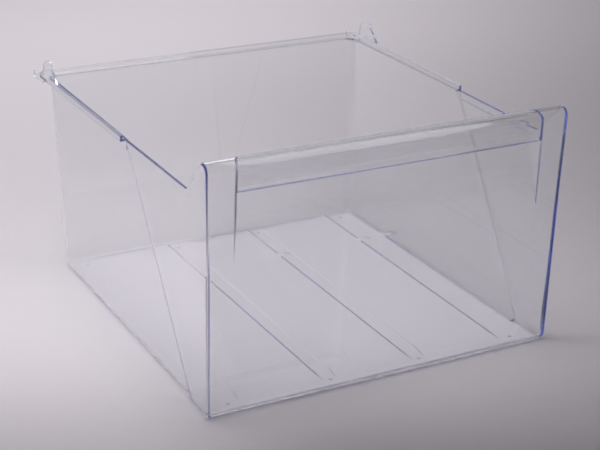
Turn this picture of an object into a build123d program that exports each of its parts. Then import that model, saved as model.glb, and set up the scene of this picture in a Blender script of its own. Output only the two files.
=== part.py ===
from build123d import *
import math
import os

os.makedirs("parts", exist_ok=True)

# Clear freezer drawer: an open box with a flat front that carries a recessed
# finger grip, plain sloping side and back walls, a folded flange round three
# sides that the drawer hangs and slides on, and a stop hook at each rear corner.
# Millimetres.  While it is built, X runs across, Y runs back from the outer face
# of the front, Z runs up from the table.  At the end everything is moved back by
# half the overall depth, so the origin is at the middle of the footprint.

# ---------------------------------------------------------------- dimensions
OVERALL_DEPTH = 475.0      # front face to the tip of the rail tongues

# sheet thicknesses
T_FRONT = 3.0
T_SIDE = 2.5
T_BACK = 2.5
T_FLOOR = 2.5

# outer half width of the front part: HALF_FRONT_0 at the table, a little more above
HALF_FRONT_0 = 212.95
FRONT_FLARE = 0.0077       # gain in half width per mm of height
# outer half width of the main box: narrows to the rear, widens to the top
HALF_BOX_0 = 210.4
BOX_TAPER = 0.0105         # loss per mm of depth
BOX_DRAFT = 0.0236         # gain per mm of height
# the diagonal crease where the main box steps out to the front part
CREASE_Y0 = 44.0
CREASE_Z0 = 3.0
CREASE_SLOPE = 0.6835      # rearward run per mm of height
CREASE_RUN = 12.0          # length of the slanting step, front to back

# side profile
FLOOR_Z = 1.2              # underside of the raised floor fields between the runners
RAMP_START_Y = 12.0        # the fields ramp down to the table in front of this line
RAMP_END_Y = 50.0
BACK_Y0 = 426.3            # outer back face at the table
BACK_DRAFT = 0.104         # rearward lean of the back per mm of height
R_FRONT_OUT = 9.0          # outer edge under the front
R_FRONT_IN = 6.5           # hollow where the front meets the floor
R_CORNER = 7.5             # lower corners of the front, seen from the front
R_BACK_CORNER = 14.0
R_BASE = 7.5

# top edges
WALL_TOP_Z = 239.0         # top edge of the front part of the side walls
LEDGE_Z = 236.5            # underside of the flange
LEDGE_T = 2.5
FLANGE_TOP_Z = 243.4
FLANGE_HALF = 219.5        # outer face of the flange upstand
UPSTAND_T = 2.5
RAIL_FRONT_Y = 207.0
RIM_BACK_Y = 457.5
R_FLANGE = 7.0
NOTCH_Y = 47.0             # foot of the rise from the side wall to the front
EAR_Y = 12.6
FRONT_TOP_Z = 279.4
CURL_R = 10.6              # rolled top edge of the front
RIM_BAND = 9.0             # height of the thicker band along the top of each wing
RIM_PROUD = 1.0

# finger grip
GRIP_HALF = 183.6          # half length of the grip recess
CHEEK_T = 2.6
CHEEK_SPLAY = 0.51         # the cheeks lean inwards this much per mm of depth
GRIP_BOTTOM_Z = 171.7      # fold line between the front panel and the scoop
GRIP_LOW_Z = 169.5         # top of the flat front panel, just under the fold
LIP_BOTTOM_Z = 247.0
SCOOP_SLOPE = 0.203        # rearward run of the scoop wall per mm of height
R_FOLD = 14.0
GRIP_SPLIT_Z = 262.0
BEAD_D = 3.8               # thickened lower edge of the lip

# floor: three raised fields, and the runners that are left between and beside them
FIELDS = ((-165.0, -65.5), (-47.5, 47.5), (65.5, 165.0))
FIELD_RUN = 5.0            # width of the sloping sides of a field
RUNNER_Y0 = 12.0
RUNNER_Y1 = 416.0
INNER_RUNNER = (44.5, 68.5)
OUTER_RUNNER = (162.0, 198.0)

# stop hook and rail tongue
HOOK_PTS = [(399.4, FLANGE_TOP_Z), (416.5, 258.5), (419.0, 265.2), (435.0, 262.5),
            (440.5, 256.0), (442.0, FLANGE_TOP_Z)]
TONGUE_Z0 = 231.0
TONGUE_Z1 = 240.0

SPAN = 260.0               # working half width for prisms
TOP = 320.0                # working height


# ---------------------------------------------------------------- helpers
def face_yz(points, radii=None):
    """Closed polygon in the YZ plane; radii maps a corner index to its radius."""
    sk = make_face(Polyline(*points, close=True))
    for i, r in sorted((radii or {}).items()):
        v = sk.vertices().sort_by_distance(Vector(points[i][0], points[i][1], 0))[0]
        sk = fillet([v], r)
    return sk


def prism(sk, x0, x1):
    """A YZ face carried across from x0 to x1."""
    return extrude(Plane.YZ.offset(x0) * sk, x1 - x0)


def block(x0, x1, y0, y1, z0, z1):
    return Pos((x0 + x1) / 2, (y0 + y1) / 2, (z0 + z1) / 2) * Box(x1 - x0, y1 - y0, z1 - z0)


def clip(shape, point, normal):
    """Keep the side that the normal points away from."""
    return split(shape, Plane(origin=point, z_dir=normal), keep=Keep.BOTTOM)


def clip_box_sides(shape, inset):
    for s in (1, -1):
        shape = clip(shape, (s * (HALF_BOX_0 - inset), 0, 0), (s, BOX_TAPER, -BOX_DRAFT))
    return shape


def clip_front_sides(shape, inset):
    for s in (1, -1):
        shape = clip(shape, (s * (HALF_FRONT_0 - inset), 0, 0), (s, 0, -FRONT_FLARE))
    return shape


def crease_y(z, shift=0.0):
    return CREASE_Y0 + (z - CREASE_Z0) * CREASE_SLOPE + shift


def back_y(z, inset=0.0):
    return BACK_Y0 + BACK_DRAFT * z - inset


# ---------------------------------------------------------------- main box
def round_box(s, floor_z, r_corner, r_base):
    """Round the two rear uprights, then the edge of the floor at the sides and back."""
    up = [e for e in s.edges()
          if all(v.Y > BACK_Y0 - 30 for v in e.vertices())
          and abs(e.vertices()[0].Z - e.vertices()[-1].Z) > 150]
    s = fillet(up, r_corner)
    base = [e for e in s.edges()
            if all(abs(v.Z - floor_z) < 0.05 for v in e.vertices())
            and not all(abs(v.Y - RAMP_END_Y) < 6 for v in e.vertices())]
    return fillet(base, r_base)


def box_body(inset_side, inset_back, floor_t, r_corner, r_base):
    """Main box from the ramp line back, as one block."""
    prof = face_yz([(RAMP_END_Y, floor_t), (back_y(floor_t, inset_back), floor_t),
                    (back_y(TOP, inset_back), TOP), (RAMP_END_Y, TOP)])
    return round_box(clip_box_sides(prism(prof, -SPAN, SPAN), inset_side), floor_t, r_corner, r_base)


def front_profile(floor_t, front_y, r_front, end_y):
    return face_yz([(front_y, floor_t), (end_y, floor_t), (end_y, TOP), (front_y, TOP)], {0: r_front})


def foot_body(inset_side, floor_t, front_y, r_front):
    """Narrow front end of the main box."""
    prof = front_profile(floor_t, front_y, r_front, RAMP_END_Y)
    return clip_box_sides(prism(prof, -SPAN, SPAN), inset_side)


def wing_outline(inset, floor_t, r_corner):
    """The wider front part seen from the front, as a long block."""
    lo, hi = HALF_FRONT_0 - inset + FRONT_FLARE * floor_t, HALF_FRONT_0 - inset + FRONT_FLARE * TOP
    sk = make_face(Polyline((-lo, -floor_t), (lo, -floor_t), (hi, -TOP), (-hi, -TOP), close=True))
    low = sk.vertices().sort_by(Axis.Y)[-2:]
    return extrude(Plane.XZ.rotated((180, 0, 0)).offset(-10) * fillet(low, r_corner), 340)


def wing_body(inset_side, floor_t, front_y, r_front, r_corner):
    """Wider front part, up to the slanting step in the side wall."""
    s = prism(front_profile(floor_t, front_y, r_front, 300), -SPAN, SPAN)
    s = s & wing_outline(inset_side, floor_t, r_corner)
    y0, y1 = crease_y(0) - CREASE_RUN / 2, crease_y(0) + CREASE_RUN / 2
    yt = crease_y(WALL_TOP_Z) - CREASE_RUN / 2
    p = Vector(HALF_FRONT_0 - inset_side, y0, 0)
    along = Vector(HALF_BOX_0 - inset_side - BOX_TAPER * y1, y1, 0) - p
    up = Vector(HALF_FRONT_0 - inset_side + FRONT_FLARE * WALL_TOP_Z, yt, WALL_TOP_Z) - p
    n = along.cross(up)
    if n.Y < 0:
        n = n * -1
    for side in (1, -1):
        s = clip(s, (side * p.X, p.Y, 0), (side * n.X, n.Y, n.Z))
    return s


def field_block(x0, x1, z, grow):
    """Block under one raised floor field, with sloping sides and a front ramp."""
    r = FIELD_RUN / 2
    x0, x1 = x0 - grow, x1 + grow
    prof = make_face(Polyline((x0 - r, z - 3), (x0 - r, z), (x0 + r, z + FLOOR_Z), (x1 - r, z + FLOOR_Z),
                              (x1 + r, z), (x1 + r, z - 3), close=True))
    blk = extrude(Plane.XZ.offset(-5) * prof, -455)
    slope = FLOOR_Z / (RAMP_END_Y - RAMP_START_Y)
    return clip(blk, (0, RAMP_END_Y, z + FLOOR_Z), (0, -slope, 1))


outer = (box_body(0, 0, 0, R_BACK_CORNER, R_BASE)
         + foot_body(0, 0, 0, R_FRONT_OUT)
         + wing_body(0, 0, 0, R_FRONT_OUT, R_CORNER))
inner = (box_body(T_SIDE, T_BACK, T_FLOOR, R_BACK_CORNER - T_SIDE, R_BASE - T_SIDE)
         + foot_body(T_SIDE, T_FLOOR, T_FRONT, R_FRONT_IN)
         + wing_body(T_SIDE, T_FLOOR, T_FRONT, R_FRONT_IN, R_CORNER - T_SIDE))
for x0, x1 in FIELDS:
    outer = outer - field_block(x0, x1, 0, 0)
    inner = inner - field_block(x0, x1, T_FLOOR, 0.6)

# outline of everything below the flange, seen from the side
c45 = CURL_R * math.sqrt(0.5)
ear = (Polyline((0, -5), (0, FRONT_TOP_Z - CURL_R))
       + ThreePointArc((0, FRONT_TOP_Z - CURL_R),
                       (CURL_R - c45, FRONT_TOP_Z - CURL_R + c45),
                       (CURL_R, FRONT_TOP_Z))
       + Polyline((CURL_R, FRONT_TOP_Z), (EAR_Y, FRONT_TOP_Z),
                  (NOTCH_Y, WALL_TOP_Z), (RAIL_FRONT_Y, WALL_TOP_Z),
                  (RAIL_FRONT_Y, LEDGE_Z), (500, LEDGE_Z), (500, -5), (0, -5)))
side_outline = make_face(ear)
for p, r in (((EAR_Y, FRONT_TOP_Z), 2.5), ((NOTCH_Y, WALL_TOP_Z), 6.0)):
    v = side_outline.vertices().sort_by_distance(Vector(p[0], p[1], 0))[0]
    side_outline = fillet([v], r)
shell = (outer - inner) & prism(side_outline, -SPAN, SPAN)

# ---------------------------------------------------------------- front
zc = FRONT_TOP_Z - CURL_R   # height where the rolled top edge begins


def curl_profile(z_low, t, tail):
    """Upright sheet with a rolled top edge that runs back to y = tail."""
    ri = CURL_R - t
    a = math.sqrt(0.5)
    return make_face(
        Polyline((0, z_low), (0, zc))
        + ThreePointArc((0, zc), (CURL_R * (1 - a), zc + CURL_R * a), (CURL_R, FRONT_TOP_Z))
        + Polyline((CURL_R, FRONT_TOP_Z), (tail, FRONT_TOP_Z), (tail, FRONT_TOP_Z - t),
                   (CURL_R, FRONT_TOP_Z - t))
        + ThreePointArc((CURL_R, FRONT_TOP_Z - t), (CURL_R - ri * a, zc + ri * a), (t, zc))
        + Polyline((t, zc), (t, z_low), (0, z_low)))


zone_y, zone_z = T_FRONT + R_FRONT_IN, T_FLOOR + R_FRONT_IN
front_zone = prism(face_yz([(-5, -5), (zone_y, -5), (zone_y, zone_z),
                            (T_FRONT, zone_z), (T_FRONT, zc), (-5, zc)]), -SPAN, SPAN)
front_all = shell & front_zone
front_panel = front_all & block(-SPAN, SPAN, -5, 20, -5, GRIP_LOW_Z)
cheek_x = CHEEK_T * math.hypot(1, CHEEK_SPLAY)   # thickness of a cheek along X
stile_sheet = prism(curl_profile(GRIP_LOW_Z, T_FRONT, EAR_Y - 0.6), 150, SPAN)
right_front_stile = clip(clip_front_sides(stile_sheet, 0), (GRIP_HALF + cheek_x, 0, 0), (-1, -CHEEK_SPLAY, 0))
body = shell - front_zone - prism(curl_profile(-5, T_FRONT, EAR_Y - 0.6), -SPAN, SPAN)

# grip: one folded sheet, from the top of the front panel back along the scoop,
# over the top in an arch and down the lip to its bead
fold = math.atan(SCOOP_SLOPE)
norm = math.hypot(SCOOP_SLOPE, 1.0)
r_arch = (SCOOP_SLOPE * (FRONT_TOP_Z - GRIP_BOTTOM_Z) + T_FRONT * norm - CURL_R) / (norm + SCOOP_SLOPE)
arch_z = FRONT_TOP_Z - r_arch


def on_circle(cy, cz, r, degrees):
    a = math.radians(degrees)
    return (cy + r * math.cos(a), cz + r * math.sin(a))


def fold_points(offset, radius):
    """Start, middle and end of the fold, from the scoop down to the panel."""
    z0 = GRIP_BOTTOM_Z - (radius + offset) * math.tan(fold / 2)
    return [(offset + radius * (1 - math.cos(fold * k)), z0 + radius * math.sin(fold * k)) for k in (1, 0.5, 0)]


def grip_skin(inset):
    """From the lip over the arch to the scoop and down to the fold."""
    r0, r1 = CURL_R - inset, r_arch - inset
    end_a = -math.degrees(fold)
    f = fold_points(0.0, R_FOLD + T_FRONT) if inset else fold_points(T_FRONT, R_FOLD)
    top0, top1 = (CURL_R, zc + r0), on_circle(CURL_R, arch_z, r1, end_a)
    return (ThreePointArc((inset, zc), on_circle(CURL_R, zc, r0, 135), top0)
            + ThreePointArc(top0, on_circle(CURL_R, arch_z, r1, (90 + end_a) / 2), top1)
            + Polyline(top1, f[0]) + ThreePointArc(*f)), f[-1]


skin_out, low_out = grip_skin(0.0)
skin_in, low_in = grip_skin(T_FRONT)
grip_fill = make_face(Polyline(low_out, (T_FRONT, GRIP_LOW_Z), (0, GRIP_LOW_Z), (0, zc)) + skin_out)
# the space inside the grip, from the scoop wall to the inside of the lip
grip_void = make_face(
    Polyline(low_in, (-10, low_in[1]), (-10, LIP_BOTTOM_Z), (BEAD_D, LIP_BOTTOM_Z),
             (BEAD_D, LIP_BOTTOM_Z + 2.6), (T_FRONT, LIP_BOTTOM_Z + 6.0), (T_FRONT, zc)) + skin_in)


def clip_cheeks(shape, x):
    """Keep what lies between two planes that lean inwards with depth."""
    for side in (1, -1):
        shape = clip(shape, (side * x, 0, 0), (side, CHEEK_SPLAY, 0))
    return shape


grip_sheet = clip_cheeks(prism(grip_fill, -GRIP_HALF, GRIP_HALF), GRIP_HALF) \
    - prism(grip_void, -GRIP_HALF - 9, GRIP_HALF + 9)
grip_lip = grip_sheet & block(-SPAN, SPAN, -5, 8, LIP_BOTTOM_Z - 1, zc)
grip_scoop = (grip_sheet & block(-SPAN, SPAN, -5, 80, GRIP_LOW_Z - 1, GRIP_SPLIT_Z)) \
    - block(-SPAN, SPAN, -5, 8, LIP_BOTTOM_Z - 1, GRIP_SPLIT_Z + 1)
grip_top = grip_sheet - block(-SPAN, SPAN, -5, 8, GRIP_LOW_Z - 5, zc) \
    - block(-SPAN, SPAN, -5, 80, GRIP_LOW_Z - 5, GRIP_SPLIT_Z)
right_grip_cheek = clip(clip(prism(grip_fill, 100, SPAN), (GRIP_HALF, 0, 0), (-1, -CHEEK_SPLAY, 0)),
                        (GRIP_HALF + cheek_x, 0, 0), (1, CHEEK_SPLAY, 0))

# ---------------------------------------------------------------- floor
floor_top = FLOOR_Z + T_FLOOR
floor_all = body & block(-SPAN, SPAN, 0, 600, -5, floor_top)
walls = body - block(-SPAN, SPAN, 0, 600, -5, floor_top)
runners = []
for lo, hi in ((-OUTER_RUNNER[1], -OUTER_RUNNER[0]), (-INNER_RUNNER[1], -INNER_RUNNER[0]),
               INNER_RUNNER, OUTER_RUNNER):
    slot = block(lo, hi, RUNNER_Y0, RUNNER_Y1, -1, floor_top + 1)
    runners.append(floor_all & slot)
for r in runners:
    floor_all = floor_all - r
front_floor_ramp = floor_all & block(-SPAN, SPAN, 0, RAMP_END_Y, -5, 20)
floor_panel = floor_all & block(-SPAN, SPAN, RAMP_END_Y, 600, -5, 20)

# ---------------------------------------------------------------- side and back walls
ahead_of_crease = clip(block(0, SPAN, -5, 400, -5, TOP), (0, crease_y(0), 0), (0, 1, -CREASE_SLOPE))
right_walls = walls & block(0, SPAN, -5, 600, -5, TOP)
right_side_wing = right_walls & ahead_of_crease
ty, tz = NOTCH_Y - EAR_Y, WALL_TOP_Z - FRONT_TOP_Z
tl = math.hypot(ty, tz)
rise = (29.0, WALL_TOP_Z + (29.0 - NOTCH_Y) * tz / ty)     # upper end of the band, on the rise
band_outline = face_yz([rise, (NOTCH_Y, WALL_TOP_Z), (RAIL_FRONT_Y - 8, WALL_TOP_Z),
                        (RAIL_FRONT_Y - 8, WALL_TOP_Z - RIM_BAND),
                        (NOTCH_Y - RIM_BAND * (tl + tz) / ty * 0.8, WALL_TOP_Z - RIM_BAND),
                        (rise[0] + RIM_BAND * tz / tl, rise[1] - RIM_BAND * ty / tl)], {1: 6.0})
band_block = prism(band_outline, 150, SPAN)
right_side_wing = right_side_wing + (clip_front_sides(band_block, -RIM_PROUD) - clip_front_sides(band_block, 0))
behind = right_walls - ahead_of_crease
near_back = clip(block(-SPAN, SPAN, 200, 600, -5, TOP),
                 (0, back_y(0, 16), 0), (0, -1, BACK_DRAFT))
middle = clip_box_sides(block(-SPAN, SPAN, 200, 600, -5, TOP), 16)
right_side_wall = behind - near_back
right_rear_corner = (behind & near_back) - middle
back_wall = walls & near_back & middle

# ---------------------------------------------------------------- flange, hooks, tongues
JOIN_X = 205.0


def flange_block(inset, z0, z1, y0):
    """A slab inside the flange outline, rounded at the two rear corners."""
    slab = block(-FLANGE_HALF + inset, FLANGE_HALF - inset, y0, RIM_BACK_Y - inset, z0, z1)
    rear = [e for e in slab.edges()
            if all(abs(v.Y - (RIM_BACK_Y - inset)) < 0.01 for v in e.vertices())
            and abs(e.vertices()[0].Z - e.vertices()[-1].Z) > 1]
    return fillet(rear, R_FLANGE - inset)


ledge = flange_block(0, LEDGE_Z, LEDGE_Z + LEDGE_T, RAIL_FRONT_Y) - inner
upstand = (flange_block(0, LEDGE_Z + LEDGE_T, FLANGE_TOP_Z, RAIL_FRONT_Y)
           - flange_block(UPSTAND_T, LEDGE_Z, FLANGE_TOP_Z + 1, 0))
flange = ledge + upstand
right_slide_rail = flange & block(JOIN_X, SPAN, 0, 600, 200, TOP)
back_rim = flange & block(-JOIN_X, JOIN_X, 0, 600, 200, TOP)
hook = face_yz(HOOK_PTS, {1: 3.0, 2: 2.0, 3: 4.0, 4: 3.0})
right_stop_hook = prism(hook, FLANGE_HALF - UPSTAND_T, FLANGE_HALF)
tongue = face_yz([(440, LEDGE_Z), (RIM_BACK_Y, LEDGE_Z), (RIM_BACK_Y, TONGUE_Z1),
                  (OVERALL_DEPTH, TONGUE_Z1), (OVERALL_DEPTH, TONGUE_Z0), (447, TONGUE_Z0)],
                 {3: 1.5, 4: 3.0, 5: 5.0})
right_rail_tongue = prism(tongue, FLANGE_HALF - UPSTAND_T, FLANGE_HALF)

# ---------------------------------------------------------------- write the pieces
nodes = {
    "floor_panel": floor_panel,
    "front_floor_ramp": front_floor_ramp,
    "floor_runner_outer_left": runners[0],
    "floor_runner_inner_left": runners[1],
    "floor_runner_inner_right": runners[2],
    "floor_runner_outer_right": runners[3],
    "back_wall": back_wall,
    "back_rim": back_rim,
    "front_panel": front_panel,
    "grip_scoop": grip_scoop,
    "grip_top": grip_top,
    "grip_lip": grip_lip,
}
for name, s in (("side_wall", right_side_wall), ("side_wing", right_side_wing),
                ("rear_corner", right_rear_corner), ("slide_rail", right_slide_rail),
                ("stop_hook", right_stop_hook), ("rail_tongue", right_rail_tongue),
                ("front_stile", right_front_stile), ("grip_cheek", right_grip_cheek)):
    nodes["right_" + name] = s
    nodes["left_" + name] = mirror(s, about=Plane.YZ)

for name, s in nodes.items():
    s = Pos(0, -OVERALL_DEPTH / 2, 0) * s
    solids = s.solids()
    shape = solids[0] if len(solids) == 1 else Compound(children=solids)
    export_step(shape, f"parts/{name}.step")
    print(name, len(solids), round(sum(x.volume for x in solids), 1))
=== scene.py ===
import math

import bmesh
import bpy
from mathutils import Matrix, Vector


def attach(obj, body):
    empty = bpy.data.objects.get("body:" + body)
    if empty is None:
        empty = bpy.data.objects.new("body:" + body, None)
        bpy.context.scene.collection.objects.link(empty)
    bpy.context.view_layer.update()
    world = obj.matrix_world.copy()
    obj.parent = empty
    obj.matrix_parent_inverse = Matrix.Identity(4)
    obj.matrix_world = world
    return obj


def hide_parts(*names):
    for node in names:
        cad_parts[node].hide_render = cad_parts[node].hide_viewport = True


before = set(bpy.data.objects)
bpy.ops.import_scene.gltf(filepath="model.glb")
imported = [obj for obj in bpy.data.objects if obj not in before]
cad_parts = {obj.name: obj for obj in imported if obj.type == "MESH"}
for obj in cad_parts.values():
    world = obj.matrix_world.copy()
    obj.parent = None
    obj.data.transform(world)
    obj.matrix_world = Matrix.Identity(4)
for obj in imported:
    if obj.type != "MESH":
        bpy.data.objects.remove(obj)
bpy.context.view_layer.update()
scene = bpy.context.scene

# ------------------------------------------------------------------ dimensions
# Millimetres.  X across, Y back from the front face, Z up.  Everything is moved
# back by DEPTH / 2 and scaled to metres when the mesh is finished.
DEPTH = 475.0
T_FRONT, T_SIDE, T_BACK, T_FLOOR = 3.0, 2.5, 2.5, 2.5
HALF_FRONT_0, FRONT_FLARE = 212.95, 0.0077
HALF_BOX_0, BOX_TAPER, BOX_DRAFT = 210.4, 0.0105, 0.0236
CREASE_Y0, CREASE_Z0, CREASE_SLOPE = 44.0, 3.0, 0.6835
CREASE_RUN = 12.0          # length of the soft step between the front wing and the side wall
FLOOR_Z = 1.2
RAMP_Y0, RAMP_Y1 = 12.0, 50.0
BACK_Y0, BACK_DRAFT = 426.3, 0.104
R_FRONT_OUT, R_FRONT_IN, R_CORNER, R_BACK_CORNER, R_BASE = 9.0, 6.5, 7.5, 14.0, 7.5
WALL_TOP_Z, LEDGE_Z, LEDGE_T, FLANGE_TOP_Z = 239.0, 236.5, 2.5, 243.4
FLANGE_HALF, UPSTAND_T, RAIL_FRONT_Y, RIM_BACK_Y, R_FLANGE = 219.5, 2.5, 207.0, 457.5, 7.0
NOTCH_Y, EAR_Y, FRONT_TOP_Z, CURL_R = 47.0, 12.6, 279.4, 10.6
GRIP_HALF, CHEEK_T, CHEEK_SPLAY = 183.6, 2.6, 0.51
GRIP_BOTTOM_Z, LIP_BOTTOM_Z, SCOOP_SLOPE, R_FOLD = 171.7, 247.0, 0.203, 14.0
BEAD_D = 3.8
PANELS = ((-165.0, -65.5), (-47.5, 47.5), (65.5, 165.0))   # raised floor fields between the runners
PANEL_RUN = 5.0
RIM_BAND, RIM_PROUD = 9.0, 1.0
TONGUE_Z0, TONGUE_Z1 = 231.0, 240.0
TOP = 320.0


# ------------------------------------------------------------------ mesh helpers
def obj_from(name, verts, faces):
    """A closed mesh object with its faces turned outward."""
    me = bpy.data.meshes.new(name)
    me.from_pydata([tuple(v) for v in verts], [], faces)
    bm = bmesh.new()
    bm.from_mesh(me)
    return obj_from_bm(name, bm, me)


def obj_from_bm(name, bm, me=None):
    bmesh.ops.recalc_face_normals(bm, faces=bm.faces[:])
    if bm.calc_volume(signed=True) < 0:
        bmesh.ops.reverse_faces(bm, faces=bm.faces[:])
    me = me or bpy.data.meshes.new(name)
    bm.to_mesh(me)
    bm.free()
    ob = bpy.data.objects.new(name, me)
    scene.collection.objects.link(ob)
    return ob


def drop(ob):
    me = ob.data
    bpy.data.objects.remove(ob)
    if me.users == 0:
        bpy.data.meshes.remove(me)


def boole(a, b, op, keep=False):
    """a = a op b; both are closed meshes."""
    m = a.modifiers.new("b", "BOOLEAN")
    m.solver = "MANIFOLD"
    m.operation = op
    m.object = b
    dg = bpy.context.evaluated_depsgraph_get()
    me = bpy.data.meshes.new_from_object(a.evaluated_get(dg))
    a.modifiers.clear()
    old = a.data
    a.data = me
    bpy.data.meshes.remove(old)
    if not keep:
        drop(b)
    return a


def join(a, b, keep=False):
    return boole(a, b, "UNION", keep)


def cut(a, b, keep=False):
    return boole(a, b, "DIFFERENCE", keep)


def common(a, b, keep=False):
    return boole(a, b, "INTERSECT", keep)


def rounded(points, radii, seg=8):
    """2-D polygon with some corners rounded; radii maps a corner to its radius."""
    out = []
    n = len(points)
    for i, p in enumerate(points):
        r = radii.get(i)
        if not r:
            out.append(tuple(p))
            continue
        p = Vector(p)
        a = (Vector(points[i - 1]) - p).normalized()
        b = (Vector(points[(i + 1) % n]) - p).normalized()
        half = a.angle(b) / 2
        t = r / math.tan(half)
        c = p + (a + b).normalized() * (r / math.sin(half))
        s, e = p + a * t - c, p + b * t - c
        turn = math.atan2(s.x * e.y - s.y * e.x, s.dot(e))
        for k in range(seg + 1):
            w = turn * k / seg
            out.append((c.x + s.x * math.cos(w) - s.y * math.sin(w),
                        c.y + s.x * math.sin(w) + s.y * math.cos(w)))
    return out


def arc(cx, cy, r, a0, a1, seg):
    """Points from angle a0 to a1 in degrees."""
    return [(cx + r * math.cos(math.radians(a0 + (a1 - a0) * k / seg)),
             cy + r * math.sin(math.radians(a0 + (a1 - a0) * k / seg))) for k in range(seg + 1)]


def prism(name, poly, lo, hi):
    """YZ polygon carried across; lo and hi are x, or functions of (y, z)."""
    f_lo = lo if callable(lo) else (lambda y, z: lo)
    f_hi = hi if callable(hi) else (lambda y, z: hi)
    n = len(poly)
    verts = [(f_lo(y, z), y, z) for y, z in poly] + [(f_hi(y, z), y, z) for y, z in poly]
    faces = [tuple(range(n)), tuple(range(2 * n - 1, n - 1, -1))]
    faces += [(i, (i + 1) % n, n + (i + 1) % n, n + i) for i in range(n)]
    return obj_from(name, verts, faces)


def column(name, loops):
    """Closed solid through a stack of loops that have the same number of points."""
    n = len(loops[0])
    verts = [p for loop in loops for p in loop]
    faces = [tuple(range(n)), tuple(range(len(verts) - 1, len(verts) - n - 1, -1))]
    for k in range(len(loops) - 1):
        b = k * n
        faces += [(b + i, b + (i + 1) % n, b + n + (i + 1) % n, b + n + i) for i in range(n)]
    return obj_from(name, verts, faces)


def beyond(point, normal, size=900.0):
    """A block that fills the side of a plane that the normal points to."""
    nz = Vector(normal).normalized()
    nx = nz.orthogonal().normalized()
    ny = nz.cross(nx)
    p = Vector(point)
    verts = [p + nx * (i * size) + ny * (j * size) + nz * (k * size)
             for k in (0, 1) for i, j in ((-1, -1), (1, -1), (1, 1), (-1, 1))]
    faces = [(0, 1, 2, 3), (7, 6, 5, 4)] + [(i, (i + 1) % 4, 4 + (i + 1) % 4, 4 + i) for i in range(4)]
    return obj_from("beyond", verts, faces)


def across(name, skin, rest, half, seg=8):
    """YZ section carried across, with the edges of its skin rounded at both ends.

    skin holds (y, z, inward y, inward z, radius); half(y, z) is the half width."""
    loops = []
    for side in (-1, 1):
        stack = []
        for k in range(seg + 1):
            w = k / seg * math.pi / 2
            loop = []
            for y, z, ny, nz, r in skin:
                d, e = r * (1 - math.sin(w)), r * (1 - math.cos(w))
                loop.append((side * (half(y, z) - e), y + ny * d, z + nz * d))
            r_in = skin[-1][4]
            for y, z in rest:
                loop.append((side * (half(y, z) - r_in * (1 - math.cos(w))), y, z))
            stack.append(loop)
        loops += stack if side < 0 else stack[::-1]
    return column(name, loops)


def crease_y(z):
    return CREASE_Y0 + (z - CREASE_Z0) * CREASE_SLOPE


def back_y(z):
    return BACK_Y0 + BACK_DRAFT * z


def half_box(y, z):
    return HALF_BOX_0 - BOX_TAPER * y + BOX_DRAFT * z


def half_front(z):
    return HALF_FRONT_0 + FRONT_FLARE * z


# ------------------------------------------------------------------ box bodies
def box_loop(z, side, back, r, front_y, seg=10):
    yb = back_y(z) - back
    hf, hb = half_box(front_y, z) - side, half_box(yb, z) - side
    pts = rounded([(-hf, front_y), (hf, front_y), (hb, yb), (-hb, yb)], {2: r, 3: r}, seg)
    return [(x, y, z) for x, y in pts]


def box_body(name, side, back, floor_t, rc, rb, front_y):
    """Main box: rounded uprights at the rear, rounded edge round the floor."""
    z0 = floor_t
    loops = []
    steps = 8
    for k in range(steps + 1):
        w = k / steps * math.pi / 2
        d = rb * (1 - math.sin(w))
        loops.append(box_loop(z0 + rb * (1 - math.cos(w)), side + d, back + d, rc - d, front_y))
    loops.append(box_loop(TOP, side, back, rc, front_y))
    return column(name, loops)


def front_skin(front_y, floor_t, r_front, r_up, r_low, end_y, seg=8):
    """Skin from high on the front face, round the bottom edge and back along the floor."""
    skin = [(front_y, TOP, 1, 0, r_up), (front_y, floor_t + r_front, 1, 0, r_up)]
    cy, cz = front_y + r_front, floor_t + r_front
    for k in range(1, seg + 1):
        w = k / seg * math.pi / 2
        skin.append((cy - r_front * math.cos(w), cz - r_front * math.sin(w),
                     math.cos(w), math.sin(w), r_up + (r_low - r_up) * k / seg))
    skin.append((end_y, floor_t, 0, 1, r_low))
    return skin


def foot_body(name, side, floor_t, front_y, r_front, r_up, r_low):
    """Front end of the main box."""
    end = RAMP_Y1 + 12
    skin = front_skin(front_y, floor_t, r_front, r_up, r_low, end)
    return across(name, skin, [(end, TOP)], lambda y, z: half_box(y, z) - side)


def slant(t, soft=0.42):
    """Straight slant from 0 to 1 with soft ends."""
    if t > 0.5:
        return 1 - slant(1 - t, soft)
    g = 1 / (1 - soft)
    return g * t * t / (2 * soft) if t < soft else g * (t - soft / 2)


def wing_body(name, side, floor_t, front_y, r_front, r_up, r_low):
    """Wider front part, up to the soft diagonal step in the side wall."""
    end = 330.0
    skin = front_skin(front_y, floor_t, r_front, r_up, r_low, end)
    ob = across(name, skin, [(end, TOP)], lambda y, z: half_front(z) - side)
    steps = 14
    for s in (1, -1):
        loops = []
        for j in range(9):
            z = -20 + (TOP + 40) * j / 8
            y0 = crease_y(z) - CREASE_RUN / 2
            hf = half_front(z) - side
            loop = []
            for k in range(steps + 1):
                t = k / steps
                hb = half_box(y0 + CREASE_RUN * t, z) - side
                loop.append((hf + 0.02 - (hf - hb + 0.05) * slant(t), y0 + CREASE_RUN * t))
            loop += [(loop[-1][0] - 6, y0 + CREASE_RUN + 8), (loop[-1][0] - 6, 900), (400, 900), (400, y0)]
            loops.append([(s * x, y, z) for x, y in loop])
        cut(ob, column("step", loops))
    return ob


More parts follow.
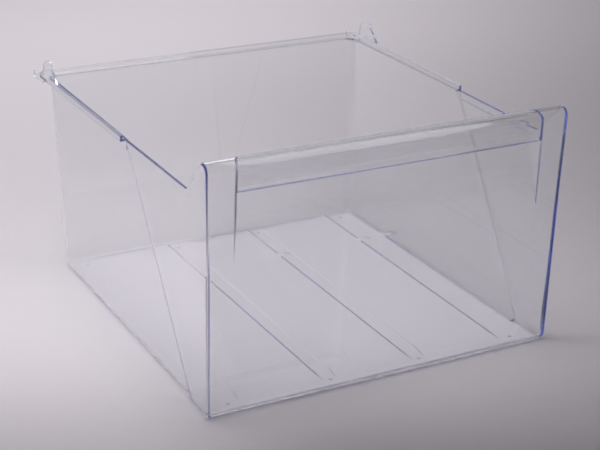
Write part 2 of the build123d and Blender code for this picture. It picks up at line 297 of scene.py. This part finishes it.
def field(name, x0, x1, top, grow):
    """Block under one raised floor field: soft sloping sides, ramp at the front."""
    steps = 12
    half, xm = (x1 - x0) / 2 + grow, (x0 + x1) / 2
    loops = []
    for k in range(steps + 1):
        t = k / steps
        z = top - FLOOR_Z + FLOOR_Z * t * t * (3 - 2 * t)
        d = PANEL_RUN * (t - 0.5)
        loops.append([(xm - half + d, RAMP_Y0 - 8, z), (xm + half - d, RAMP_Y0 - 8, z),
                      (xm + half - d, 460, z), (xm - half + d, 460, z)])
    loops.insert(0, [(x, y, top - FLOOR_Z - 4) for x, y, z in loops[0]])
    ob = column(name, loops)
    slope = FLOOR_Z / (RAMP_Y1 - RAMP_Y0)
    cut(ob, beyond((0, RAMP_Y1, top), (0, -slope, 1)))
    return ob


outer = box_body("outer", 0, 0, 0, R_BACK_CORNER, R_BASE, 40.0)
join(outer, foot_body("foot", 0, 0, 0, R_FRONT_OUT, 1.0, R_BASE))
join(outer, wing_body("wing", 0, 0, 0, R_FRONT_OUT, 1.0, R_CORNER))
inner = box_body("inner", T_SIDE, T_BACK, T_FLOOR, R_BACK_CORNER - T_SIDE, R_BASE - T_SIDE, 40.0)
join(inner, foot_body("foot", T_SIDE, T_FLOOR, T_FRONT, R_FRONT_IN, 1.5, R_BASE - T_SIDE))
join(inner, wing_body("wing", T_SIDE, T_FLOOR, T_FRONT, R_FRONT_IN, 1.5, R_CORNER - T_SIDE))
for x0, x1 in PANELS:
    cut(outer, field("field", x0, x1, FLOOR_Z, 0.0))
    cut(inner, field("field", x0, x1, FLOOR_Z + T_FLOOR, 0.6))

# ------------------------------------------------------------------ side outline
zc = FRONT_TOP_Z - CURL_R
outline = [(1.2, -5)] + [(1.2, zc)]
outline += arc(CURL_R, zc, CURL_R - 1.2, 180, 90, 10)[1:]
ear = rounded([(CURL_R, FRONT_TOP_Z - 1.2), (EAR_Y, FRONT_TOP_Z - 1.2), (NOTCH_Y, WALL_TOP_Z),
               (RAIL_FRONT_Y, WALL_TOP_Z), (RAIL_FRONT_Y, LEDGE_Z + 0.6), (500, LEDGE_Z + 0.6), (500, -5)],
              {1: 2.0, 2: 6.0}, 8)
outline += ear[1:]
ear_cut = prism("ear_cut", outline, -260, 260)

inside = bpy.data.objects.new("inside", inner.data.copy())
scene.collection.objects.link(inside)
shell = cut(outer, inner)
common(shell, ear_cut)

# ------------------------------------------------------------------ front sheet
# The whole front is one sheet with a rolled top edge, folded back for the grip.
ri = CURL_R - T_FRONT
tail = EAR_Y - 0.6
R_EDGE = 1.0


def skin_arc(cy, cz, r, a0, a1, seg, re0, re1):
    """Arc of skin points with normals towards the centre, edge radius going from re0 to re1."""
    out = []
    for k in range(seg + 1):
        w = math.radians(a0 + (a1 - a0) * k / seg)
        out.append((cy + r * math.cos(w), cz + r * math.sin(w), -math.cos(w), -math.sin(w),
                    re0 + (re1 - re0) * k / seg))
    return out


# skin: from the tip of the rolled edge, over the top, down the face and under
skin = [(tail, FRONT_TOP_Z, 0, -1, 0.4)]
skin += skin_arc(CURL_R, zc, CURL_R, 90, 180, 12, 0.4, R_EDGE)
skin += skin_arc(R_FRONT_OUT, R_FRONT_OUT, R_FRONT_OUT, 180, 270, 8, R_EDGE, 2.4)
rest = [(T_FRONT, 0.4), (T_FRONT, zc)]
rest += arc(CURL_R, zc, ri, 180, 90, 12)[1:]
rest += [(tail, FRONT_TOP_Z - T_FRONT)]
rest += arc(tail, FRONT_TOP_Z - T_FRONT / 2, T_FRONT / 2, -90, 60, 6)[1:]
front = across("front_sheet", skin, rest, lambda y, z: half_front(z))

# ------------------------------------------------------------------ finger grip
# Section of the folded sheet: up the panel, a soft fold, back along the scoop,
# over the top in an arch and down the lip to its bead.
fold = math.atan(SCOOP_SLOPE)
norm = math.hypot(SCOOP_SLOPE, 1.0)
r_arch = (SCOOP_SLOPE * (FRONT_TOP_Z - GRIP_BOTTOM_Z) + T_FRONT * norm - CURL_R) / (norm + SCOOP_SLOPE)
arch_z = FRONT_TOP_Z - r_arch
end_a = -math.degrees(fold)


def fold_line(offset, radius, seg=8):
    """Fold at the foot of the scoop, from the scoop down to the panel."""
    z0 = GRIP_BOTTOM_Z - (radius + offset) * math.tan(fold / 2)
    return [(offset + radius * (1 - math.cos(fold * k / seg)), z0 + radius * math.sin(fold * k / seg))
            for k in range(seg, -1, -1)]


grip_poly = [(0, GRIP_BOTTOM_Z - 8), (0, zc)] + arc(CURL_R, zc, CURL_R, 180, 90, 12)[1:]
grip_poly += arc(CURL_R, arch_z, r_arch, 90, end_a, 18)[1:]
grip_poly += fold_line(T_FRONT, R_FOLD) + [(T_FRONT, GRIP_BOTTOM_Z - 8)]

void = arc(CURL_R, zc, ri, 180, 90, 12)
void += arc(CURL_R, arch_z, r_arch - T_FRONT, 90, end_a, 18)[1:]
void += fold_line(0.0, R_FOLD + T_FRONT)
void += [(-12, void[-1][1]), (-12, LIP_BOTTOM_Z)]
void += rounded([(-2, LIP_BOTTOM_Z), (BEAD_D, LIP_BOTTOM_Z), (BEAD_D, LIP_BOTTOM_Z + 2.6),
                 (T_FRONT, LIP_BOTTOM_Z + 6.0)], {1: 1.2, 2: 1.6}, 8)


def cheek(x):
    """End faces of the grip, which lean inwards with depth."""
    return (lambda y, z: -x + CHEEK_SPLAY * y), (lambda y, z: x - CHEEK_SPLAY * y)


grip = prism("grip", grip_poly, *cheek(GRIP_HALF + CHEEK_T * math.hypot(1, CHEEK_SPLAY)))
grip_void = prism("grip_void", void, *cheek(GRIP_HALF))
window = prism("window", [(-5, GRIP_BOTTOM_Z - 4), (T_FRONT + 0.5, GRIP_BOTTOM_Z - 4), (30, GRIP_BOTTOM_Z + 60),
                          (30, 300), (-5, 300)], *cheek(GRIP_HALF))
cut(front, window, keep=True)
cut(shell, window)
join(front, grip)
cut(front, grip_void)
join(shell, front)

# rounded lower corners of the front, seen from the front
for s in (-1, 1):
    hf = half_front(0)
    pts = [(hf + 4, -3), (hf + 4, R_CORNER), (half_front(R_CORNER), R_CORNER)]
    pts += arc(hf - R_CORNER, R_CORNER, R_CORNER, 0, -90, 8)[1:] + [(hf - R_CORNER, -3)]
    cut(shell, column("corner", [[(s * x, y, z) for x, z in pts] for y in (-4, 3.4)]))

# thicker band along the top edge of each wing
top_line = rounded([(29.0, 260.1), (33.0, 255.4), (NOTCH_Y, WALL_TOP_Z), (RAIL_FRONT_Y - 16, WALL_TOP_Z),
                    (RAIL_FRONT_Y - 8, WALL_TOP_Z)], {2: 6.0}, 8)


def inward(line, d):
    """The line moved down and back by d, square to its run."""
    out = []
    for i, (y, z) in enumerate(line):
        a, b = line[max(i - 1, 0)], line[min(i + 1, len(line) - 1)]
        t = (Vector(b) - Vector(a)).normalized()
        out.append((y + t.y * d, z - t.x * d))
    return out


low_line = inward(top_line, RIM_BAND)
low_soft = inward(top_line, RIM_BAND - 0.3)
for s in (-1, 1):
    rows = []
    for off, line in ((-1.2, low_line), (0.0, low_line), (RIM_PROUD, low_soft)):
        pts = top_line + line[::-1]
        fade = [off if 0 < i < len(pts) - 1 else min(off, 0.02) for i in range(len(pts))]
        rows.append([(s * (half_front(z) + o), y, z) for (y, z), o in zip(pts, fade)])
    band = column("band", rows)
    join(shell, band)

# ------------------------------------------------------------------ flange
def flange_loop(z, inset, seg=8):
    h, yb, r = FLANGE_HALF - inset, RIM_BACK_Y - inset, R_FLANGE - inset
    pts = rounded([(-h, RAIL_FRONT_Y), (h, RAIL_FRONT_Y), (h, yb), (-h, yb)], {2: r, 3: r}, seg)
    return [(x, y, z) for x, y in pts]


def edge_loops(z0, z1, inset, r):
    """Stack of loops with the top outer edge rounded."""
    loops = [flange_loop(z0, inset)]
    for k in range(9):
        w = k / 8 * math.pi / 2
        loops.append(flange_loop(z1 - r + r * math.sin(w), inset + r * (1 - math.cos(w))))
    return loops


flange = column("flange", edge_loops(LEDGE_Z, FLANGE_TOP_Z, 0, 0.7))
trough_cut = column("trough_cut", [flange_loop(LEDGE_Z + LEDGE_T, UPSTAND_T),
                                   flange_loop(FLANGE_TOP_Z - 0.6, UPSTAND_T),
                                   flange_loop(FLANGE_TOP_Z + 2.0, UPSTAND_T - 0.9)])
drop_front = prism("front_open", [(RAIL_FRONT_Y - 20, LEDGE_Z + LEDGE_T), (RAIL_FRONT_Y + 1, LEDGE_Z + LEDGE_T),
                                  (RAIL_FRONT_Y + 1, 260), (RAIL_FRONT_Y - 20, 260)],
                   -(FLANGE_HALF - UPSTAND_T), FLANGE_HALF - UPSTAND_T)
cut(flange, trough_cut)
cut(flange, drop_front)
cut(flange, inside)
join(shell, flange)

# ------------------------------------------------------------------ hooks and tongues
hook_pts = rounded([(399.4, FLANGE_TOP_Z - 3), (399.4, FLANGE_TOP_Z), (416.5, 258.5), (419.0, 265.2),
                    (435.0, 262.5), (440.5, 256.0), (442.0, FLANGE_TOP_Z), (442.0, FLANGE_TOP_Z - 3)],
                   {2: 3.0, 3: 2.0, 4: 4.0, 5: 3.0}, 5)
tongue_pts = rounded([(440, LEDGE_Z + 3), (RIM_BACK_Y - 8, LEDGE_Z + 3), (RIM_BACK_Y, TONGUE_Z1),
                      (DEPTH, TONGUE_Z1), (DEPTH, TONGUE_Z0), (447, TONGUE_Z0), (440, LEDGE_Z)],
                     {3: 1.5, 4: 3.0, 5: 4.0}, 5)
for s in (-1, 1):
    a, b = sorted((s * (FLANGE_HALF - UPSTAND_T), s * FLANGE_HALF))
    for nm, pts in (("hook", hook_pts), ("tongue", tongue_pts)):
        piece = prism(nm, pts, a, b)
        join(shell, piece)

# ------------------------------------------------------------------ pips
# low round marks of the mould at the ends of the runners
PIP_R, PIP_H = 2.4, 0.4
r_dome = (PIP_R ** 2 + PIP_H ** 2) / (2 * PIP_H)
for x in (-180.0, -56.5, 56.5, 180.0):
    for y in (22.0, 409.0):
        loops = [[(x + PIP_R * math.cos(a * math.pi / 12), y + PIP_R * math.sin(a * math.pi / 12), T_FLOOR - 0.5)
                  for a in range(24)]]
        for k in range(7):
            z = PIP_H * math.sin(k / 6 * math.pi / 2) * 0.999
            r = math.sqrt(max(r_dome ** 2 - (z + r_dome - PIP_H) ** 2, 0.01))
            loops.append([(x + r * math.cos(a * math.pi / 12), y + r * math.sin(a * math.pi / 12), T_FLOOR + z)
                          for a in range(24)])
        join(shell, column("pip", loops))

# ------------------------------------------------------------------ finish the moulding
shell.name = "drawer_moulding"
shell.data.name = "drawer_moulding"
bm = bmesh.new()
bm.from_mesh(shell.data)
bmesh.ops.dissolve_degenerate(bm, edges=bm.edges[:], dist=0.002)
bmesh.ops.delete(bm, geom=[e for e in bm.edges if not e.link_faces], context="EDGES")
bmesh.ops.delete(bm, geom=[v for v in bm.verts if not v.link_faces], context="VERTS")
bmesh.ops.transform(bm, matrix=Matrix.Scale(0.001, 4) @ Matrix.Translation((0, -DEPTH / 2, 0)), verts=bm.verts[:])
for f in bm.faces:
    f.smooth = True
for e in bm.edges:
    e.smooth = len(e.link_faces) == 2 and e.calc_face_angle(0) < math.radians(13.5)
bm.to_mesh(shell.data)
bm.free()
wn = shell.modifiers.new("normals", "WEIGHTED_NORMAL")
wn.weight = 100
wn.keep_sharp = True

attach(shell, "root")
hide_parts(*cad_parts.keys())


# ------------------------------------------------------------------ materials
def node_tree(name):
    m = bpy.data.materials.new(name)
    m.use_nodes = True
    m.node_tree.nodes.clear()
    return m, m.node_tree.nodes, m.node_tree.links


def clear_plastic():
    m, n, l = node_tree("clear_plastic_moulded")
    out = n.new("ShaderNodeOutputMaterial")
    p = n.new("ShaderNodeBsdfPrincipled")
    p.inputs["Base Color"].default_value = (0.992, 0.994, 0.9965, 1)
    p.inputs["Transmission Weight"].default_value = 1.0
    p.inputs["IOR"].default_value = 1.585
    # moulded surface: polished, with faint flow waviness and a little haze
    tex = n.new("ShaderNodeTexCoord")
    flow = n.new("ShaderNodeTexNoise")
    flow.inputs["Scale"].default_value = 9.0
    flow.inputs["Detail"].default_value = 2.0
    stretch = n.new("ShaderNodeMapping")
    stretch.inputs["Scale"].default_value = (1.0, 0.6, 0.8)
    l.new(tex.outputs["Object"], stretch.inputs["Vector"])
    l.new(stretch.outputs["Vector"], flow.inputs["Vector"])
    bump = n.new("ShaderNodeBump")
    bump.inputs["Strength"].default_value = 0.06
    bump.inputs["Distance"].default_value = 0.002
    l.new(flow.outputs["Fac"], bump.inputs["Height"])
    l.new(bump.outputs["Normal"], p.inputs["Normal"])
    haze = n.new("ShaderNodeTexNoise")
    haze.inputs["Scale"].default_value = 30.0
    haze.inputs["Detail"].default_value = 4.0
    l.new(tex.outputs["Object"], haze.inputs["Vector"])
    ramp = n.new("ShaderNodeMapRange")
    ramp.inputs["From Min"].default_value = 0.45
    ramp.inputs["From Max"].default_value = 0.8
    ramp.inputs["To Min"].default_value = 0.0
    ramp.inputs["To Max"].default_value = 0.035
    l.new(haze.outputs["Fac"], ramp.inputs["Value"])
    l.new(ramp.outputs["Result"], p.inputs["Roughness"])
    vol = n.new("ShaderNodeVolumeAbsorption")
    vol.inputs["Color"].default_value = (0.30, 0.44, 0.88, 1)
    vol.inputs["Density"].default_value = 6.0
    l.new(p.outputs["BSDF"], out.inputs["Surface"])
    # the faint milkiness that shows where light runs a long way inside the sheet
    milk = n.new("ShaderNodeVolumeScatter")
    milk.inputs["Color"].default_value = (0.72, 0.84, 1.0, 1)
    milk.inputs["Density"].default_value = 1.0
    both = n.new("ShaderNodeAddShader")
    l.new(vol.outputs["Volume"], both.inputs[0])
    l.new(milk.outputs["Volume"], both.inputs[1])
    l.new(both.outputs["Shader"], out.inputs["Volume"])
    return m


plastic = clear_plastic()
shell.data.materials.clear()
shell.data.materials.append(plastic)
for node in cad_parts.values():
    for sl in node.material_slots:
        sl.material = plastic

# ------------------------------------------------------------------ stage
ground = bmesh.new()
bmesh.ops.create_grid(ground, x_segments=8, y_segments=8, size=6.0)
me = bpy.data.meshes.new("studio_floor")
ground.to_mesh(me)
ground.free()
floor = bpy.data.objects.new("studio_floor", me)
floor.location = (0, 0, -0.0004)
scene.collection.objects.link(floor)


def floor_material():
    m, n, l = node_tree("studio_paper")
    out = n.new("ShaderNodeOutputMaterial")
    p = n.new("ShaderNodeBsdfPrincipled")
    tex = n.new("ShaderNodeTexCoord")
    grain = n.new("ShaderNodeTexNoise")
    grain.inputs["Scale"].default_value = 60.0
    grain.inputs["Detail"].default_value = 6.0
    l.new(tex.outputs["Object"], grain.inputs["Vector"])
    mix = n.new("ShaderNodeMix")
    mix.data_type = "RGBA"
    mix.inputs["A"].default_value = (0.655, 0.615, 0.655, 1)
    mix.inputs["B"].default_value = (0.675, 0.635, 0.675, 1)
    l.new(grain.outputs["Fac"], mix.inputs["Factor"])
    l.new(mix.outputs["Result"], p.inputs["Base Color"])
    p.inputs["Roughness"].default_value = 0.75
    l.new(p.outputs["BSDF"], out.inputs["Surface"])
    return m


floor.data.materials.append(floor_material())

world = bpy.data.worlds.new("studio")
scene.world = world
world.use_nodes = True
wn_ = world.node_tree.nodes
wl = world.node_tree.links
wn_.clear()
wo = wn_.new("ShaderNodeOutputWorld")
bg = wn_.new("ShaderNodeBackground")
# pale sweep behind and to the left, dim room in front
way = wn_.new("ShaderNodeTexCoord")
split = wn_.new("ShaderNodeSeparateXYZ")
wl.new(way.outputs["Generated"], split.inputs["Vector"])
lean = wn_.new("ShaderNodeMath")
lean.operation = "MULTIPLY_ADD"
lean.inputs[1].default_value = -0.45
wl.new(split.outputs["X"], lean.inputs[0])
wl.new(split.outputs["Y"], lean.inputs[2])
sweep = wn_.new("ShaderNodeMapRange")
sweep.interpolation_type = "SMOOTHSTEP"
sweep.inputs["From Min"].default_value = 0.10
sweep.inputs["From Max"].default_value = 0.62
sweep.inputs["To Min"].default_value = 0.03
sweep.inputs["To Max"].default_value = 0.50
wl.new(lean.outputs["Value"], sweep.inputs["Value"])
bg.inputs["Color"].default_value = (0.95, 0.93, 0.97, 1)
wl.new(sweep.outputs["Result"], bg.inputs["Strength"])
wl.new(bg.outputs["Background"], wo.inputs["Surface"])


def softbox(name, loc, aim, size_x, size_y, power, color=(1, 1, 1), spread=180, glossy=True):
    d = bpy.data.lights.new(name, "AREA")
    d.shape = "RECTANGLE"
    d.size, d.size_y = size_x, size_y
    d.energy = power
    d.color = color
    d.spread = math.radians(spread)
    o = bpy.data.objects.new(name, d)
    o.location = loc
    o.rotation_euler = (Vector(aim) - Vector(loc)).to_track_quat("-Z", "Y").to_euler()
    o.visible_camera = False
    o.visible_glossy = glossy
    scene.collection.objects.link(o)
    return o


softbox("overhead", (-0.122, 0.042, 0.634), (0.194, 0.777, 0), 0.9, 0.9, 6.06, glossy=False)
softbox("left", (-0.378, -0.35, 0.5), (-1.295, 0.138, 0), 0.7, 0.7, 1.25, glossy=False).visible_transmission = False
softbox("rear", (0.32, 1.23, 1.384), (0.03, 2.793, 0), 1.6, 1.6, 21.8, glossy=False)

# ------------------------------------------------------------------ camera
AZ, EL, ROLL = math.radians(-29.40), math.radians(22.92), math.radians(1.82)
FOCAL_PX, DIST, SHIFT_X, SHIFT_Z = 1566.6, 1782.7, -24.0, 20.3
cam_back = Vector((math.sin(AZ) * math.cos(EL), -math.cos(AZ) * math.cos(EL), math.sin(EL)))
cam_right = Vector((math.cos(AZ), math.sin(AZ), 0))
cam_up = cam_back.cross(cam_right)
target = Vector((0, 150, 100)) + cam_right * SHIFT_X + cam_up * SHIFT_Z
eye = (target + cam_back * DIST + Vector((0, -DEPTH / 2, 0))) * 0.001
rx = cam_right * math.cos(ROLL) + cam_up * math.sin(ROLL)
ry = cam_up * math.cos(ROLL) - cam_right * math.sin(ROLL)
cd = bpy.data.cameras.new("camera")
cd.sensor_fit = "HORIZONTAL"
cd.sensor_width = 36.0
cd.lens = 36.0 * FOCAL_PX / 600.0
cd.clip_start, cd.clip_end = 0.01, 100
cam = bpy.data.objects.new("camera", cd)
m = Matrix((rx, ry, cam_back)).transposed().to_4x4()
m.translation = eye
cam.matrix_world = m
scene.collection.objects.link(cam)
scene.camera = cam

# ------------------------------------------------------------------ light transport
cy = scene.cycles
cy.max_bounces = 160
cy.transmission_bounces = 160
cy.glossy_bounces = 160
cy.diffuse_bounces = 4
cy.transparent_max_bounces = 16
cy.caustics_refractive = True
cy.caustics_reflective = True
cy.volume_bounces = 1
cy.blur_glossy = 0.0
cy.filter_width = 2.0
cy.sample_clamp_indirect = 6.0
scene.view_settings.view_transform = "Standard"
scene.view_settings.look = "None"
